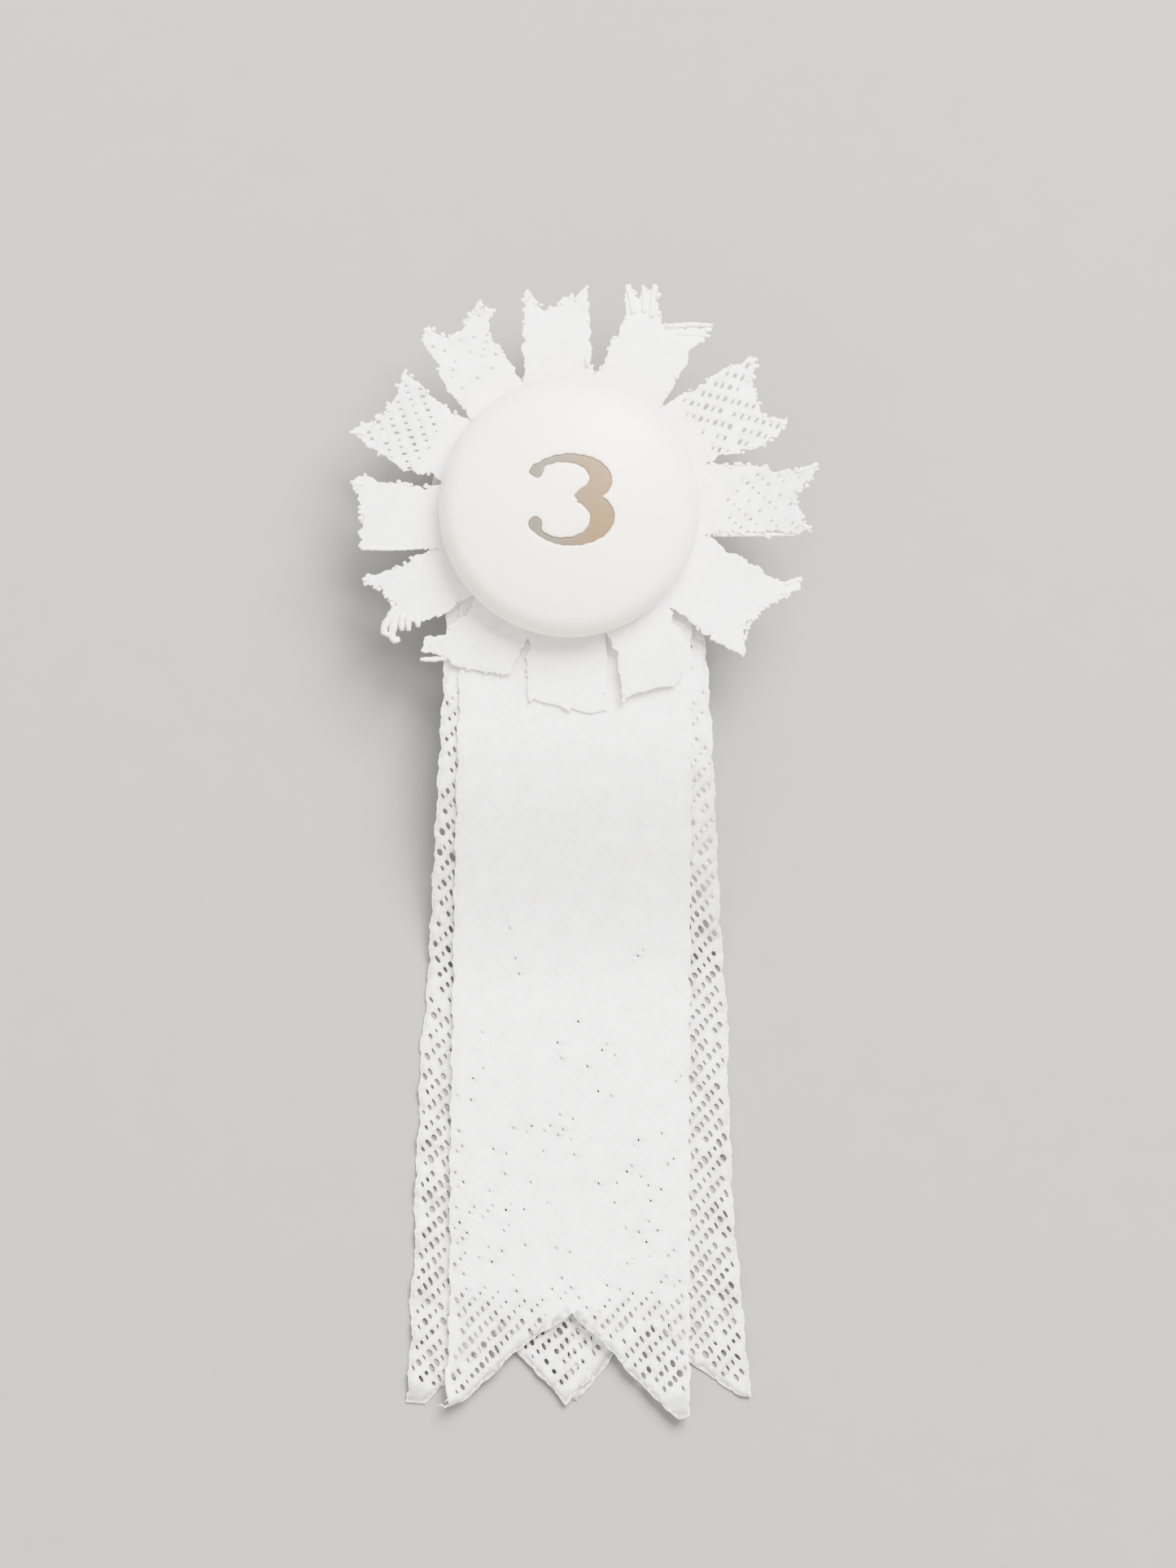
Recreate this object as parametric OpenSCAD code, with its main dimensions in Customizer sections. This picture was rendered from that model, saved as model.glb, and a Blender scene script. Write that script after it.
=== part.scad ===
// Small award rosette with a place numeral, three swallow-tailed ribbons and a bar pin.
// It lies face up: +Z towards the viewer, +Y towards the top of the rosette.
// The origin is under the middle of the whole, on the surface it lies on.

/* [Petals] */
// Width of one petal strip
strip_w = 4; // [3:0.1:6]
// From the middle of the rosette to the tip of a petal
petal_reach = 12.3; // [11:0.1:18]
// Depth of the V cut into a petal's end
petal_notch = 1.3; // [0.5:0.1:2]
// Thickness of the petal tape
strip_t = 0.2; // [0.15:0.01:0.4]

/* [Button] */
// Diameter of the button
button_d = 14.5; // [12:0.1:18]
// Height of the button
button_h = 3.6; // [3:0.1:5]
// Radius of the button's domed crown
crown_r = 16; // [14:0.5:30]
// Radius of the button's rounded edge
edge_r = 1.8; // [1:0.1:2.2]
// Wall of the hollow button
button_wall = 1.2; // [1:0.1:1.6]

/* [Numeral] */
// Height of the numeral
numeral_h = 5.12; // [4:0.01:6.5]
// How far the numeral lies below the dome
numeral_sink = 0.12; // [0.05:0.01:0.3]
// Thickness of the numeral's inlay
numeral_t = 0.2; // [0.1:0.01:0.3]

/* [Tails] */
// Width of the front tail
front_w = 13.5; // [12:0.1:18]
// From the fold to the tips of the front tail
front_len = 38.1; // [30:0.1:60]
// Depth of the front tail's V cut
front_notch = 5.2; // [3:0.1:8]
// Width of each rear tail
rear_w = 10; // [8:0.1:13]
// From the fold to the tips of a rear tail
rear_len = 37.7; // [30:0.1:60]
// Depth of a rear tail's V cut
rear_notch = 4; // [3:0.1:6]
// Angle that each rear tail splays from the middle
splay = 3; // [1:0.1:6]
// Thickness of the tail tape
tape_t = 0.2; // [0.15:0.01:0.25]
// How far the tails run forward of the fold before they reach the table
droop_run = 14; // [8:0.5:20]

/* [Backing] */
// Diameter of the backing disc
backing_d = 15.6; // [13:0.1:20]
// Thickness of the backing disc
backing_t = 0.8; // [0.5:0.1:1.5]

/* [Bar pin] */
// Length of the bar's plate
bar_l = 14.2; // [13:0.1:20]
// Width of the bar's plate
bar_w = 4.4; // [3.6:0.1:6]
// Thickness of the bar's plate
bar_t = 0.5; // [0.4:0.05:0.8]
// Diameter of the needle's wire
needle_d = 0.7; // [0.6:0.05:0.9]
// Height of the bar pin above the middle of the rosette
pin_y = 1.5; // [0.5:0.1:3]

/* [Hidden] */
$fn = 64;
eps = 0.01;
over = 1;                                      // how far a cutter runs past what it cuts

// hand-set strips: how far each one slipped from its even place, clockwise from the top
strip_count = 6;
strip_step = 30;
strip_slip = [-2, -1.3, 1.5, -2, -1.5, 3];
strip_shift = [-0.45, -0.25, 0, 0.1, 0, 0];
petal_trim = [0, 0.4, 0.4, 1.3, 0.5, -1.1, -0.7, -1.2, -0.2, -0.5, 0, 0];

// catch and hinge of the bar pin
run_gap = 0.05;                                // running clearance of the needle on its rivet
catch_gap = 0.04;                              // running clearance of the catch in its housing
needle_room = 0.1;                             // room round the needle inside the catch
catch_wall = 0.5;
rotor_in_r = needle_d / 2 + needle_room;
rotor_out_r = rotor_in_r + 0.55;
house_in_r = rotor_out_r + catch_gap;
house_out_r = house_in_r + catch_wall;
house_l = 2;
flange_t = 0.3;
flange_r = rotor_out_r + 0.25;
flange_gap = 0.05;
tab_reach = rotor_out_r + 0.7;
tab_w = 0.8;
slot_w = needle_d + 0.25;
ring_sink = 0.2;                               // how far the housing's ring runs into the plate
rivet_r = 0.4;
rivet_head_r = 0.75;
rivet_head_t = 0.3;
eye_r = 0.9;
eye_w = 0.8;
ear_gap = 0.1;
ear_t = 0.45;
ear_r = 1;
ear_in = 0.2;                                  // from the plate's end to the ears
point_l = 2.2;
point_d = 0.1;
point_in = 0.2;                                // from the plate's end to the needle's point

// heights, from the table up
axis_z = house_out_r;                          // the needle lies on the catch's axis
plate_z = 2 * house_out_r - ring_sink;
pin_glue_t = 0.15;
pin_glue_in = 0.5;                             // the glue stops short of the plate's edges
backing_z = plate_z + bar_t + pin_glue_t;
backing_glue_t = 0.5;
layer_gap = 0.1;                               // clear space between two free tails
layer_t = tape_t + layer_gap;                  // a root layer is the tape with its film of glue
rear_right_z = backing_z + backing_t + backing_glue_t;
rear_left_z = rear_right_z + layer_t;
front_z = rear_left_z + layer_t;
petal_z = front_z + layer_t;
button_z = petal_z + strip_count * strip_t;
drop = rear_right_z;                           // each tail comes down by the same amount

// places across the rosette
root_top = 5;                                  // the tails start this far above the middle
tip_room = 0.6;
lower_tip = petal_reach + petal_trim[6];
fold_y = -(lower_tip + tip_room);
fold_gap = 0.6;                                // bare ribbon between a root and its free tail
rear_left_x = -1.5;
rear_right_x = 2.3;
prong_trim = 1.3;                              // the inner prong of a rear tail is cut back
cloth = 90;                                    // more than any piece measures

// the origin is under the middle of the whole
right_reach = petal_reach + petal_trim[3];
left_reach = petal_reach + petal_trim[9];
mid_x = (left_reach - right_reach) / 2;
mid_y = (front_len - fold_y - petal_reach) / 2;

// button
button_r = button_d / 2;
crown_z = button_h - crown_r;
edge_x = button_r - edge_r;
edge_z = crown_z + sqrt(pow(crown_r - edge_r, 2) - pow(edge_x, 2));
meet_x = edge_x * crown_r / (crown_r - edge_r);
cavity_r = button_r - button_wall;
glue_r = 4.6;

// numeral, drawn 5.12 high about its own middle
drawn_h = 5.12;
numeral_at = [0.11, 0.34];
ball_r = 0.41;

// staple
wire_r = 0.25;
leg_x = 1.2;
leg_room = 0.03;
clinch_l = 0.9;
clinch_z = rear_right_z - 2 * wire_r;

white = [0.94, 0.92, 0.91];
shell = [0.96, 0.94, 0.91];
gold = [0.80, 0.72, 0.60];
steel = [0.72, 0.73, 0.75];
paste = [0.93, 0.90, 0.80];

module placed() {
  translate([mid_x, mid_y, 0]) children();
}

function ellipse_points(w, h, n = 48) =
  [for (i = [0 : n - 1]) [w * cos(360 * i / n), h * sin(360 * i / n)]];

module oval(at, w, h) {
  translate(at) polygon(ellipse_points(w, h));
}

// a round-bowled 3 with ball ends, thick on its right
module numeral_outline() {
  translate(numeral_at) scale(numeral_h / drawn_h) {
    difference() {
      union() {
        oval([-0.06, 1.09], 2.33, 1.48);
        oval([0.01, -0.95], 2.42, 1.61);
      }
      oval([-0.45, 1.22], 1.44, 0.84);
      oval([-0.43, -1.04], 1.47, 1.04);
      translate([-3, -1.27]) square([3.32, 2.84]);
    }
    translate([-1.9, 1.57]) circle(r = ball_r);
    translate([-1.98, -1.27]) circle(r = ball_r);
    translate([0.36, 0.22]) circle(r = 0.19);
  }
}

// solid dome: a crown that runs into a rounded edge
module dome() {
  rotate_extrude($fn = 96) {
    intersection() {
      translate([0, crown_z]) circle(r = crown_r, $fn = 256);
      square([meet_x, button_h + over]);
    }
    intersection() {
      translate([edge_x, edge_z]) circle(r = edge_r);
      square([button_r + over, button_h + over]);
    }
    if (edge_z > 0) square([button_r, edge_z]);
  }
}

module cavity() {
  intersection() {
    translate([0, 0, crown_z]) sphere(r = crown_r - button_wall - numeral_t, $fn = 128);
    translate([0, 0, -eps]) cylinder(r = cavity_r, h = button_h);
  }
}

// a layer of the dome that lies between two depths under its surface
module dome_layer(shallow, deep) {
  intersection() {
    linear_extrude(button_h + over) numeral_outline();
    difference() {
      translate([0, 0, crown_z]) sphere(r = crown_r - shallow, $fn = 256);
      translate([0, 0, crown_z]) sphere(r = crown_r - deep, $fn = 256);
    }
  }
}

module button() {
  color(shell) placed() translate([0, 0, button_z]) difference() {
    dome();
    cavity();
    dome_layer(-over, numeral_sink + numeral_t);
  }
}

module numeral() {
  color(gold) placed() translate([0, 0, button_z])
    dome_layer(numeral_sink, numeral_sink + numeral_t);
}

// hot glue that fills the middle of the button, round the staple's crown
module button_glue() {
  color(paste) placed() difference() {
    translate([0, 0, button_z]) intersection() {
      cavity();
      cylinder(r = glue_r, h = button_h);
    }
    staple_channel(button_z - eps, 2 * wire_r + leg_room + eps);
  }
}

// the slot that a run of the staple's wire leaves in the glue
module staple_channel(z, h) {
  half_l = leg_x + wire_r + leg_room;
  half_w = wire_r + leg_room;
  translate([-half_l, -half_w, z]) cube([2 * half_l, 2 * half_w, h]);
}

module staple() {
  color(steel) placed() {
    for (side = [-1, 1]) {
      translate([side * leg_x, 0, clinch_z + wire_r])
        cylinder(r = wire_r, h = button_z - clinch_z, $fn = 24);
      translate([side * leg_x, 0, clinch_z + wire_r]) sphere(r = wire_r, $fn = 24);
      translate([side * leg_x, 0, button_z + wire_r]) sphere(r = wire_r, $fn = 24);
    }
    translate([-leg_x, 0, button_z + wire_r])
      rotate([0, 90, 0]) cylinder(r = wire_r, h = 2 * leg_x, $fn = 24);
    for (side = [0, 1]) {
      mirror([side, 0, 0]) translate([leg_x - clinch_l, 0, clinch_z + wire_r])
        rotate([0, 90, 0]) cylinder(r = wire_r, h = clinch_l, $fn = 24);
    }
  }
}

module leg_holes() {
  for (side = [-1, 1]) {
    translate([side * leg_x, 0, clinch_z])
      cylinder(r = wire_r + leg_room, h = button_z - clinch_z + over, $fn = 24);
  }
}

// one straight strip makes two petals, the second half a turn from the first
module petal_strip(i) {
  up = petal_reach + petal_trim[i];
  down = petal_reach + petal_trim[i + strip_count];
  color(white) placed() difference() {
    rotate([0, 0, -(i * strip_step + strip_slip[i])])
      translate([strip_shift[i], 0, petal_z + i * strip_t])
        linear_extrude(strip_t) difference() {
          translate([-strip_w / 2, -down]) square([strip_w, up + down]);
          polygon([[-strip_w / 2, up + eps], [0, up - petal_notch], [strip_w / 2, up + eps]]);
          polygon([[-strip_w / 2, -down - eps], [0, petal_notch - down], [strip_w / 2, -down - eps]]);
        }
    leg_holes();
  }
}

module front_outline() {
  tip = fold_y - front_len;
  polygon([[-front_w / 2, root_top], [front_w / 2, root_top], [front_w / 2, tip],
           [0, tip + front_notch], [-front_w / 2, tip]]);
}

// the inner prong ends short, where the two rear tails were trimmed together
module rear_outline() {
  tip = fold_y - rear_len;
  polygon([[-rear_w / 2, root_top], [rear_w / 2, root_top],
           [rear_w / 2, tip + prong_trim], [rear_w / 2 - prong_trim, tip],
           [0, tip + rear_notch], [-rear_w / 2, tip]]);
}

module rear_left_outline() {
  translate([rear_left_x, 0]) rotate(-splay) rear_outline();
}

module rear_right_outline() {
  translate([rear_right_x, 0]) rotate(splay) mirror([1, 0]) rear_outline();
}

// the glued part of a tail, flat under the petals
module tail_root(z) {
  color(white) placed() difference() {
    translate([0, 0, z]) linear_extrude(layer_t) intersection() {
      children();
      translate([-cloth / 2, fold_y + fold_gap]) square([cloth, cloth]);
    }
    leg_holes();
  }
}

// the free part of a tail, which slopes down and then lies flat
module free_tail(z) {
  low = z - drop;
  color(white) placed() intersection() {
    linear_extrude(cloth) children();
    translate([-cloth / 2, fold_y, 0]) rotate([90, 0, 90]) linear_extrude(cloth)
      polygon([[0, z], [0, z + tape_t], [-droop_run, low + tape_t],
               [-cloth, low + tape_t], [-cloth, low], [-droop_run, low]]);
  }
}

module backing_disc() {
  color(white) placed() translate([0, 0, backing_z]) cylinder(d = backing_d, h = backing_t);
}

module backing_glue() {
  color(paste) placed() difference() {
    translate([0, 0, backing_z + backing_t]) cylinder(r = glue_r, h = backing_glue_t);
    staple_channel(backing_z, backing_t + 2 * backing_glue_t);
  }
}

module pin_glue() {
  glue_l = bar_l - 4 * pin_glue_in;
  glue_w = bar_w - 2 * pin_glue_in;
  color(paste) placed() translate([-glue_l / 2, pin_y - glue_w / 2, plate_z + bar_t])
    cube([glue_l, glue_w, pin_glue_t]);
}

hinge_x = -bar_l / 2 + ear_r + ear_in;
house_x = bar_l / 2 - house_l;

// everything on the bar that turns or holds is drawn about its axis, along +X
module on_axis(x) {
  translate([x, pin_y, axis_z]) rotate([90, 0, 90]) children();
}

module across(x, y) {
  translate([x, pin_y + y, axis_z]) rotate([-90, 0, 0]) children();
}

module pin_base() {
  color(steel) placed() difference() {
    union() {
      translate([-bar_l / 2, pin_y - bar_w / 2, plate_z]) cube([bar_l, bar_w, bar_t]);
      on_axis(house_x) cylinder(r = house_out_r, h = house_l);
      for (y = [-eye_w / 2 - ear_gap - ear_t, eye_w / 2 + ear_gap]) {
        across(hinge_x, y) cylinder(r = ear_r, h = ear_t);
        translate([hinge_x - ear_r, pin_y + y, axis_z])
          cube([2 * ear_r, ear_t, plate_z - axis_z + eps]);
      }
    }
    on_axis(house_x - over) cylinder(r = house_in_r, h = house_l + 2 * over);
    translate([house_x - over, pin_y - slot_w / 2, -over])
      cube([house_l + 2 * over, slot_w, axis_z + over]);
    across(hinge_x, -bar_w) cylinder(r = rivet_r, h = 2 * bar_w, $fn = 48);
  }
}

module pin_rivet() {
  outer = eye_w / 2 + ear_gap + ear_t;
  color(steel) placed() union() {
    across(hinge_x, -outer) cylinder(r = rivet_r, h = 2 * outer, $fn = 48);
    across(hinge_x, outer) cylinder(r = rivet_head_r, h = rivet_head_t);
    across(hinge_x, -outer - rivet_head_t) cylinder(r = rivet_head_r, h = rivet_head_t);
  }
}

module pin_needle() {
  tip_x = bar_l / 2 - point_in;
  color(steel) placed() difference() {
    union() {
      across(hinge_x, -eye_w / 2) cylinder(r = eye_r, h = eye_w);
      on_axis(hinge_x) cylinder(d = needle_d, h = tip_x - point_l - hinge_x, $fn = 48);
      on_axis(tip_x - point_l) cylinder(d1 = needle_d, d2 = point_d, h = point_l, $fn = 48);
    }
    across(hinge_x, -eye_w) cylinder(r = rivet_r + run_gap, h = 2 * eye_w, $fn = 48);
  }
}

// a slotted drum with a flange at each end and a tab to turn it by
module pin_catch() {
  inner_x = house_x - flange_gap - flange_t;
  drum_l = house_l + 2 * (flange_gap + flange_t);
  outer_x = house_x + house_l + flange_gap;
  color(steel) placed() difference() {
    union() {
      on_axis(inner_x) cylinder(r = rotor_out_r, h = drum_l);
      on_axis(inner_x) cylinder(r = flange_r, h = flange_t);
      on_axis(outer_x) cylinder(r = flange_r, h = flange_t);
      on_axis(outer_x) rotate(-45) translate([0, -tab_w / 2, 0])
        cube([tab_reach, tab_w, flange_t]);
    }
    on_axis(inner_x - over) cylinder(r = rotor_in_r, h = drum_l + 2 * over);
    translate([inner_x - over, pin_y - slot_w / 2, -over])
      cube([drum_l + 2 * over, slot_w, axis_z + over]);
  }
}

button();
numeral();
button_glue();
staple();
petal_strip(0);  // petal_strip_1
petal_strip(1);  // petal_strip_2
petal_strip(2);  // petal_strip_3
petal_strip(3);  // petal_strip_4
petal_strip(4);  // petal_strip_5
petal_strip(5);  // petal_strip_6
tail_root(front_z) front_outline();  // front_tail_root
free_tail(front_z) front_outline();  // front_tail
tail_root(rear_left_z) rear_left_outline();  // rear_left_root
free_tail(rear_left_z) rear_left_outline();  // rear_left_tail
tail_root(rear_right_z) rear_right_outline();  // rear_right_root
free_tail(rear_right_z) rear_right_outline();  // rear_right_tail
backing_disc();
backing_glue();
pin_glue();
pin_base();
pin_rivet();
pin_needle();
pin_catch();
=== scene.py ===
import math
import bpy
import numpy as np
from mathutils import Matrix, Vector, noise
from mathutils.geometry import delaunay_2d_cdt


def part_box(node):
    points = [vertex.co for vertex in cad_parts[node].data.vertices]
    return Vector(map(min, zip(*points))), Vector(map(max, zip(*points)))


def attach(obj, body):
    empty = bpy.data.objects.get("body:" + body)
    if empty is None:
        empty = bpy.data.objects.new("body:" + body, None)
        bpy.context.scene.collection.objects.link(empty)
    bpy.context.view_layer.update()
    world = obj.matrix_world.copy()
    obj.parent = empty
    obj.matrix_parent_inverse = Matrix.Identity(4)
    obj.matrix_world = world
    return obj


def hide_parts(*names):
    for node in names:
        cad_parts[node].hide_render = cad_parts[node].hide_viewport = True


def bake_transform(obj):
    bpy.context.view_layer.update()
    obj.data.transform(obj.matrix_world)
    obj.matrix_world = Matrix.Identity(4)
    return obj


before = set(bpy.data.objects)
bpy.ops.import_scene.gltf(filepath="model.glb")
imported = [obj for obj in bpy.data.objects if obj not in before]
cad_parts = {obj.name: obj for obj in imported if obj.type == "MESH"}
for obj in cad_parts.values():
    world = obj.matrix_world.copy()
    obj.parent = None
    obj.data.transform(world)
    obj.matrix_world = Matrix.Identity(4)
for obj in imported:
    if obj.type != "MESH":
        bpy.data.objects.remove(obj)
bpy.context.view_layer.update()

# Small award rosette: crossed woven petals, a numbered button, three swallow-tailed ribbons
# and a bar pin behind. Outlines are in millimetres about the button's middle, x to the
# right and y towards the top petal. Heights are in millimetres from the table.

mm = 0.001
buttonLow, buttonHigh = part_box("button")
middle = (buttonLow + buttonHigh) / 2


def nodeHeights(node):
    low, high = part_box(node)
    return low.z / mm, high.z / mm


def toFrame(points):
    placed = np.asarray(points, float) * mm
    return placed + np.array([middle.x, middle.y, 0.0])


# ramp from 0 to 1 with soft ends
def ease(value, start, end):
    t = np.clip((np.asarray(value, float) - start) / (end - start), 0, 1)
    return t * t * (3 - 2 * t)


# every finish starts from one plain shader
def startMaterial(name, colour, roughness, slots=None):
    material = bpy.data.materials.new(name)
    material.use_nodes = True
    nodes = material.node_tree.nodes
    nodes.clear()
    output = nodes.new("ShaderNodeOutputMaterial")
    output.location = (700, 0)
    shader = nodes.new("ShaderNodeBsdfPrincipled")
    shader.location = (400, 0)
    shader.inputs["Base Color"].default_value = (*colour, 1)
    shader.inputs["Roughness"].default_value = roughness
    for socket, value in (slots or {}).items():
        shader.inputs[socket].default_value = value
    material.node_tree.links.new(shader.outputs["BSDF"], output.inputs["Surface"])
    return material, shader


def addNode(material, kind, place, **values):
    node = material.node_tree.nodes.new(kind)
    node.location = place
    for key, value in values.items():
        if hasattr(node, key):
            setattr(node, key, value)
        else:
            node.inputs[key.replace("_", " ")].default_value = value
    return node


# each link is a node, its output, the next node and its input
def join(material, *links):
    for source, output, target, entry in links:
        material.node_tree.links.new(source.outputs[output], target.inputs[entry])


def ramp(material, place, *stops):
    node = material.node_tree.nodes.new("ShaderNodeValToRGB")
    node.location = place
    elements = node.color_ramp.elements
    while len(elements) < len(stops):
        elements.new(0.5)
    for element, (at, colour) in zip(elements, stops):
        element.position = at
        element.color = (*colour, 1)
    return node


# woven tape: two sets of fine slanted yarns, a faint unevenness in whiteness, and painted shade
# around the holes and in the weave's hollows
def wovenMaterial(name, tape):
    material, shader = startMaterial(name, tape["colour"], tape["roughness"], {
        "Specular IOR Level": 0.35,
        "Sheen Weight": 0.12,
        "Sheen Roughness": 0.5,
    })
    weave = addNode(material, "ShaderNodeUVMap", (-1100, 0), uv_map="weave")
    yarns = []
    for turn, place in ((35, 150), (-52, -150)):
        turned = addNode(material, "ShaderNodeMapping", (-900, place))
        turned.inputs["Rotation"].default_value = (0, 0, math.radians(turn))
        yarn = addNode(material, "ShaderNodeTexWave", (-700, place), Scale=tape["yarnScale"],
                       Distortion=1.5, Detail=1.0)
        join(material, (weave, "UV", turned, "Vector"), (turned, "Vector", yarn, "Vector"))
        yarns.append(yarn)
    both = addNode(material, "ShaderNodeMath", (-450, 0), operation="MAXIMUM")
    melted = addNode(material, "ShaderNodeAttribute", (-900, -400), attribute_name="melted")
    smooth = addNode(material, "ShaderNodeMapRange", (-650, -400), To_Min=0.5, To_Max=0.08)
    gloss = addNode(material, "ShaderNodeMapRange", (-650, -650), To_Min=tape["roughness"],
                    To_Max=0.34)
    bump = addNode(material, "ShaderNodeBump", (150, -200), Distance=0.00002)
    cloud = addNode(material, "ShaderNodeTexNoise", (-450, 350), Scale=tape["cloudScale"],
                    Detail=4.0)
    tone = ramp(material, (-150, 350), (0.3, tape["shade"]), (0.7, tape["colour"]))
    clear = ramp(material, (-150, 600), (0.3, tape["meltedShade"]), (0.7, tape["melted"]))
    # the relief light mask: 1 keeps the tape's own tone, lower values mix in painted shade at hole
    # rims and in the weave's hollows
    paintedReliefLight = addNode(material, "ShaderNodeAttribute", (-650, 750), attribute_name="paintedReliefLight")
    paintedShadeMix = addNode(material, "ShaderNodeMix", (0, 550), data_type="RGBA")
    # painted shade colour for hole rims and hollows, mixed over the tape's tone where the relief
    # light mask is low
    hollow = ramp(material, (-150, 850), (0.3, tape["hollow"]), (0.7, tape["shade"]))
    mixed = addNode(material, "ShaderNodeMix", (150, 400), data_type="RGBA")
    join(material, (yarns[0], "Fac", both, 0), (yarns[1], "Fac", both, 1),
         (both, 0, bump, "Height"), (melted, "Fac", smooth, "Value"),
         (smooth, "Result", bump, "Strength"), (bump, "Normal", shader, "Normal"),
         (melted, "Fac", gloss, "Value"), (gloss, "Result", shader, "Roughness"),
         (weave, "UV", cloud, "Vector"), (cloud, "Fac", tone, "Fac"),
         (cloud, "Fac", clear, "Fac"), (cloud, "Fac", hollow, "Fac"),
         (paintedReliefLight, "Fac", paintedShadeMix, "Factor"), (hollow, "Color", paintedShadeMix, 6),
         (tone, "Color", paintedShadeMix, 7), (melted, "Fac", mixed, "Factor"), (paintedShadeMix, 2, mixed, 6),
         (clear, "Color", mixed, 7), (mixed, 2, shader, "Base Color"))
    return material


# a stippled or brushed surface from one noise
def grainyMaterial(name, colour, shade, roughness, scale, depth, slots=None, stretch=(1, 1, 1)):
    material, shader = startMaterial(name, colour, roughness, slots)
    space = addNode(material, "ShaderNodeTexCoord", (-1000, 0))
    stretched = addNode(material, "ShaderNodeMapping", (-800, 0))
    stretched.inputs["Scale"].default_value = stretch
    grain = addNode(material, "ShaderNodeTexNoise", (-600, 0), Scale=scale, Detail=6.0,
                    Roughness=0.6)
    tone = ramp(material, (-250, 150), (0.3, shade), (0.7, colour))
    bump = addNode(material, "ShaderNodeBump", (150, -200), Strength=0.4, Distance=depth)
    join(material, (space, "Object", stretched, "Vector"), (stretched, "Vector", grain, "Vector"),
         (grain, "Fac", tone, "Fac"), (tone, "Color", shader, "Base Color"),
         (grain, "Fac", bump, "Height"), (bump, "Normal", shader, "Normal"))
    return material


# rings marks the cut edges, uvs is the weave map
def makePiece(name, vertices, faces, material, uvs=None, rings=None):
    mesh = bpy.data.meshes.new(name)
    mesh.from_pydata([tuple(v) for v in vertices], [], [tuple(int(i) for i in f) for f in faces])
    mesh.validate()
    mesh.polygons.foreach_set("use_smooth", [True] * len(mesh.polygons))
    if rings is not None:                   # cut edges stay crisp
        ends = np.zeros(len(mesh.edges) * 2, int)
        mesh.edges.foreach_get("vertices", ends)
        ends = rings[ends.reshape(-1, 2)]
        crisp = mesh.attributes.new("sharp_edge", "BOOLEAN", "EDGE")
        crisp.data.foreach_set("value", (ends[:, 0] > 0) & (ends[:, 0] == ends[:, 1]))
    if uvs is not None:
        layer = mesh.uv_layers.new(name="weave")
        corners = np.zeros(len(mesh.loops), int)
        mesh.loops.foreach_get("vertex_index", corners)
        layer.data.foreach_set("uv", np.asarray(uvs)[corners].ravel())
    mesh.materials.append(material)
    piece = bpy.data.objects.new(name, mesh)
    bpy.context.collection.objects.link(piece)
    return piece


# the lines of an outline; an open run does not come back to its start
def linesOf(outline, closed=True):
    return zip(outline, np.roll(outline, -1, axis=0) if closed else outline[1:])


# points along an outline, corners kept
def walkAlong(outline, step, closed=True):
    outline = np.asarray(outline, float)
    walked = []
    for here, there in linesOf(outline, closed):
        count = max(1, round(np.hypot(*(there - here)) / step))
        walked += [here + (there - here) * k / count for k in range(count)]
    return np.array(walked if closed else walked + [outline[-1]])


def distanceTo(points, outline, closed=True):
    best = np.full(len(points), 1e9)
    for here, there in linesOf(outline, closed):
        along = there - here
        length = float(along @ along)
        if length < 1e-12:
            continue
        t = np.clip(((points - here) @ along) / length, 0, 1)
        gap = points - here - t[:, None] * along
        best = np.minimum(best, np.hypot(*gap.T))
    return best


def insideOf(points, outline):
    hits = np.zeros(len(points), int)
    for here, there in linesOf(outline):
        crosses = (here[1] > points[:, 1]) != (there[1] > points[:, 1])
        rise = there[1] - here[1]
        if abs(rise) < 1e-12:
            continue
        at = here[0] + (points[:, 1] - here[1]) * (there[0] - here[0]) / rise
        hits += crosses & (points[:, 0] < at)
    return hits % 2 == 1


# at each point, the direction straight away from the outline
def awayFrom(outline, rim, ahead):
    ahead = ahead / (np.hypot(*ahead.T)[:, None] + 1e-12)
    outward = np.stack([ahead[:, 1], -ahead[:, 0]], axis=1)
    return outward if insideOf((rim - outward * 0.02)[:1], outline)[0] else -outward


# triangles between points; loops are kept as edges
def stretchBetween(points, loops):
    edges = []
    for loop in loops:
        edges += list(zip(loop, np.roll(loop, -1)))
    result = delaunay_2d_cdt([Vector(p) for p in points], [(int(a), int(b)) for a, b in edges],
                             [], 0, 1e-6, True)
    placed = np.array([tuple(p) for p in result[0]])
    came = [origin[0] if origin else -1 for origin in result[3]]
    return placed, np.array(result[2], int), np.array(came)


# every triangle turned so that its face looks up
def faceUp(placed, triangles):
    a, b, c = placed[triangles[:, 0]], placed[triangles[:, 1]], placed[triangles[:, 2]]
    signed = (b[:, 0] - a[:, 0]) * (c[:, 1] - a[:, 1]) - (b[:, 1] - a[:, 1]) * (c[:, 0] - a[:, 0])
    return np.where((signed < 0)[:, None], triangles[:, ::-1], triangles)


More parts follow.
